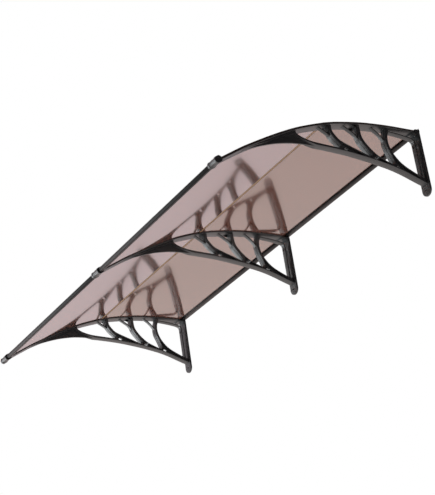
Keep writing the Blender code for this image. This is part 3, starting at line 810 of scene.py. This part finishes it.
for side_name, sign in (("right", 1), ("left", -1)):
    x0, x1 = between(sign)
    finish(front_rail(f"front_rail_{side_name}_body", x0, x1), aluminium,
           [f"front_rail_{side_name}"])
    strip = section(f"front_seal_{side_name}_body", [[on_rail(a, n) for a, n in (
        (-RAIL_A - 0.0016, -slot_low + CLEAR + SEAL), (-RAIL_A - 0.0016, -slot_low + CLEAR),
        (SLOT_END - CLEAR, -slot_low + CLEAR), (SLOT_END - CLEAR, -slot_low + CLEAR + SEAL))]], x0, x1)
    finish(rounded(strip, 0.0003), rubber, [f"front_seal_{side_name}"])
    finish(rear_rail(f"rear_rail_{side_name}_body", x0, x1), aluminium,
           [f"rear_rail_{side_name}"])
    finish(wall_seal(f"wall_seal_{side_name}_body", x0, x1), rubber,
           [f"wall_seal_{side_name}"])
    ends = sorted((sign * (END_X + CLEAR), sign * (END_X + CLEAR + 0.0028)))
    finish(rear_cap(f"rear_cap_{side_name}_body", *ends), nylon,
           [f"rear_cap_{side_name}"])


# Sleeves on the front rail: eight-sided, waisted between two collars, open behind for the sheet

def eight_sides(a, n, corner=0.0075):
    return [(-a, n - corner), (-a + corner, n), (a - corner, n), (a, n - corner), (a, -n + corner),
            (a - corner, -n), (-a + corner, -n), (-a, -n + corner)]


def front_sleeve(closed):
    """A sleeve about x = 0; the closed one has its end wall at +X, dished on the outside."""
    a, n, half = SLEEVE_A, SLEEVE_N, SLEEVE_LENGTH / 2
    tall, deep, mouth = RAIL_N + CLEAR, RAIL_A + CLEAR, slot_low + CLEAR
    back = -a - 0.005
    inside = [(back, slot_up), (-deep, slot_up), (-deep, tall), (deep - RAIL_CHAMFER, tall),
              (deep, tall - RAIL_CHAMFER), (deep, -tall + RAIL_CHAMFER),
              (deep - RAIL_CHAMFER, -tall), (-deep, -tall), (-deep, -mouth), (back, -mouth)]
    sleeve = section("sleeve", [[on_rail(*p) for p in eight_sides(a, n)]], -half, half)
    if closed:
        open_with(sleeve, lambda f: f.normal.x > 0.99)
        bpy.ops.mesh.dissolve_faces()
        bpy.ops.mesh.inset(thickness=0.0035)
        bpy.ops.transform.translate(value=(-0.0014, 0, 0))
        close()
    stop = half - SLEEVE_END if closed else half + 0.005
    cut(sleeve, [section("hollow", [[on_rail(*p) for p in inside]], -half - 0.005, stop)])
    p = on_rail(SCREW_A, n)
    for x in (-SLEEVE_SCREW, SLEEVE_SCREW):
        cut(sleeve, [through(p, rise, length=2 * (n - slot_up / 2), x=x)])
    waist = section("waist", [[on_rail(*p) for p in eight_sides(a + 0.004, n + 0.004, 0.0094)],
                              [on_rail(*p) for p in eight_sides(a - 0.0012, n - 0.0012, 0.0070)]],
                    -half + 0.0095, half - 0.0095)
    cut(sleeve, [waist])
    return rounded(sleeve, 0.0004)


end_sleeve = front_sleeve(True)
middle_sleeve = front_sleeve(False)
for name, shape, matrix in (
        ("right", end_sleeve, Matrix.Translation((BRACKET_X, 0, 0))),
        ("middle", middle_sleeve, Matrix.Identity(4)),
        ("left", end_sleeve, Matrix.Translation((-BRACKET_X, 0, 0)) @ Matrix.Scale(-1, 4, (1, 0, 0)))):
    sleeve = settle(copied(shape, f"front_sleeve_{name}_body", matrix))
    finish(sleeve, nylon, [f"front_sleeve_{name}"])
for shape in (end_sleeve, middle_sleeve):
    bpy.data.objects.remove(shape, do_unlink=True)


# Screws: a domed head with a cross recess, and a thread wound round the shank

def wound(name, points, steps, pitch=0.0, turns=1):
    """An outline of (radius, height) points turned about Z, rising by a pitch for each turn."""
    curve = bpy.data.curves.new(name, 'CURVE')
    curve.dimensions = '3D'
    spline = curve.splines.new('POLY')
    spline.points.add(len(points) - 1)
    for point, (r, h) in zip(spline.points, points):
        point.co = (r, 0, h, 1)
    obj = bpy.data.objects.new(name, curve)
    bpy.context.scene.collection.objects.link(obj)
    hold(obj)
    bpy.ops.object.convert(target='MESH')
    turn = obj.modifiers.new("turn", 'SCREW')
    turn.steps = turn.render_steps = steps
    turn.screw_offset = pitch
    turn.iterations = turns
    turn.use_merge_vertices = True
    turn.merge_threshold = 0.00002
    bpy.ops.object.modifier_apply(modifier="turn")
    return settle(obj)


def screw(length):
    """A screw with the underside of its head at the origin, pointing down."""
    dome = [(0.0045 * math.cos(t), 0.0009 + 0.0017 * math.sin(t))
            for t in [math.pi / 2 * k / 6 for k in range(7)]]
    head = wound("head", [(0, 0), (0.0042, 0), (0.0045, 0.0003)] + dome[:-1] + [(0, 0.0026)], 32)
    tip = wound("tip", [(0, -length), (0.0010, -length), (0.0014, -length + 0.0008),
                        (0.0014, 0.0004), (0, 0.0004)], 20)
    pitch = 0.0015
    turns = int((length - 0.0024) / pitch)
    thread = wound("thread", [(0.0013, 0), (0.0020, pitch * 0.30), (0.0020, pitch * 0.38),
                              (0.0013, pitch * 0.68)], 20, pitch, turns)
    thread.data.transform(Matrix.Translation((0, 0, -length + 0.0008)))
    open_with(thread, lambda e: e.is_boundary, 'EDGE')
    bpy.ops.mesh.fill()
    bpy.ops.mesh.select_all(action='SELECT')
    bpy.ops.mesh.normals_make_consistent(inside=False)
    close()
    cut(head, [block("slot", (-0.0021, -0.0004, 0.0010), (0.0021, 0.0004, 0.0040)),
               block("slot", (-0.0004, -0.0021, 0.0010), (0.0004, 0.0021, 0.0040))])
    return joined("screw", [head, tip, thread])


def placed(shape, node, x, p, up):
    turn = Vector((0, up.x, up.y)).to_track_quat('Z', 'Y').to_matrix().to_4x4()
    body = copied(shape, f"{node}_body", Matrix.Translation((x, p.x, p.y)) @ turn)
    finish(body, steel, [node])


stack = 3 * CLEAR + SHEET + COVER
cover_screw = screw(stack + SCREW_BITE)
sleeve_screw = screw(SLEEVE_N + CLEAR + SHEET / 2)
for name, x in BRACKETS:
    for k, (p, up) in enumerate(stations):
        placed(cover_screw, f"cover_screw_{name}_{k + 1}", x, p + up * stack, up)
    for k, shift in enumerate((-SLEEVE_SCREW, SLEEVE_SCREW)):
        placed(sleeve_screw, f"sleeve_screw_{name}_{k + 1}", x + shift,
               on_rail(SCREW_A, SLEEVE_N + CLEAR), rise)
for shape in (cover_screw, sleeve_screw):
    bpy.data.objects.remove(shape, do_unlink=True)


# Floor, light and camera. The canopy hangs over the floor and is seen from below, so the floor
# is what its sheets mirror and let through: for those rays it glows, a studio's light box.

FLOOR_Z = -3.0
LAMP_PLACE = (-5.2, -3.6, -2.9)
LAMP_AIM = (0, -0.4, 0)
LAMP_SIZE = (7.5, 5.0)
LAMP_ENERGY = 340
LENS = 108.36
VIEW_SHIFT = -0.010       # set so that the far sleeve stays in the picture

bpy.ops.mesh.primitive_plane_add(size=30, location=(0, 0, FLOOR_Z))
floor = bpy.context.object
floor.name = "studio_floor"
paper, shader = material("pale_floor_paper")
shader.inputs["Base Color"].default_value = tint("#f1ece6")
shader.inputs["Roughness"].default_value = 0.9
rays = add(paper, 'ShaderNodeLightPath')
mirrored = add(paper, 'ShaderNodeMath', {"operation": 'MAXIMUM'},
               {0: (rays, "Is Glossy Ray"), 1: (rays, "Is Transmission Ray")})
lit = add(paper, 'ShaderNodeEmission', None, {"Color": tint("#f2e2dc"), "Strength": 0.99})
both = add(paper, 'ShaderNodeMixShader', None, {"Fac": (mirrored, "Value")})
paper.node_tree.links.new(shader.outputs[0], both.inputs[1])
paper.node_tree.links.new(lit.outputs[0], both.inputs[2])
paper.node_tree.links.new(both.outputs[0],
                          paper.node_tree.nodes["Material Output"].inputs["Surface"])
floor.data.materials.append(paper)

world = bpy.data.worlds.new("studio")
bpy.context.scene.world = world
world.use_nodes = True
world.node_tree.nodes.clear()
way = add(world, 'ShaderNodeTexCoord')
axes = add(world, 'ShaderNodeSeparateXYZ', None, {"Vector": (way, "Generated")})
level = add(world, 'ShaderNodeMapRange', {"interpolation_type": 'SMOOTHSTEP'},
            {"Value": (axes, "X"), "From Min": -0.30, "From Max": 0.25,
             "To Min": 1.0, "To Max": 0.08})
path = add(world, 'ShaderNodeLightPath')
seen = add(world, 'ShaderNodeMath', {"operation": 'MAXIMUM'},
           {0: (path, "Is Camera Ray"), 1: (path, "Is Transmission Ray")})
above = add(world, 'ShaderNodeMapRange', {"interpolation_type": 'SMOOTHSTEP'},
            {"Value": (axes, "Z"), "From Min": 0.05, "From Max": 0.40,
             "To Min": 0.85, "To Max": 0.65})
soft = add(world, 'ShaderNodeMath', {"operation": 'MULTIPLY'},
           {0: (level, "Result"), 1: (above, "Result")})
strength = add(world, 'ShaderNodeMix', {"data_type": 'FLOAT'},
               {0: (seen, "Value"), 2: (soft, "Value"), 3: 1.0})
hue = add(world, 'ShaderNodeMix', {"data_type": 'RGBA'},
          {0: (seen, "Value"), 6: tint("#ffedef"), 7: (1, 1, 1, 1)})
glow = add(world, 'ShaderNodeBackground', None,
           {"Color": (hue, 2), "Strength": (strength, "Result")})
add(world, 'ShaderNodeOutputWorld', None, {"Surface": (glow, "Background")})

lamp_data = bpy.data.lights.new("softbox", 'AREA')
lamp_data.shape = 'RECTANGLE'
lamp_data.size, lamp_data.size_y = LAMP_SIZE
lamp_data.energy = LAMP_ENERGY
lamp = bpy.data.objects.new("softbox", lamp_data)
bpy.context.scene.collection.objects.link(lamp)
lamp.location = LAMP_PLACE
lamp.rotation_euler = (Vector(LAMP_AIM) - lamp.location).to_track_quat('-Z', 'Y').to_euler()

camera_data = bpy.data.cameras.new("camera")
camera_data.sensor_width = 36
camera_data.lens = LENS
camera_data.shift_x = VIEW_SHIFT
camera = bpy.data.objects.new("camera", camera_data)
bpy.context.scene.collection.objects.link(camera)
bpy.context.scene.camera = camera
CAMERA_PLACE = (4.90585, -3.57782, -2.51797)
CAMERA_AXES = ((0.492062, 0.415883, 0.764798),
               (0.858936, -0.088843, -0.504318),
               (-0.141790, 0.905068, -0.400933))
camera.matrix_world = Matrix.Translation(CAMERA_PLACE) @ Matrix(CAMERA_AXES).to_4x4()

bpy.context.scene.view_settings.view_transform = 'Standard'
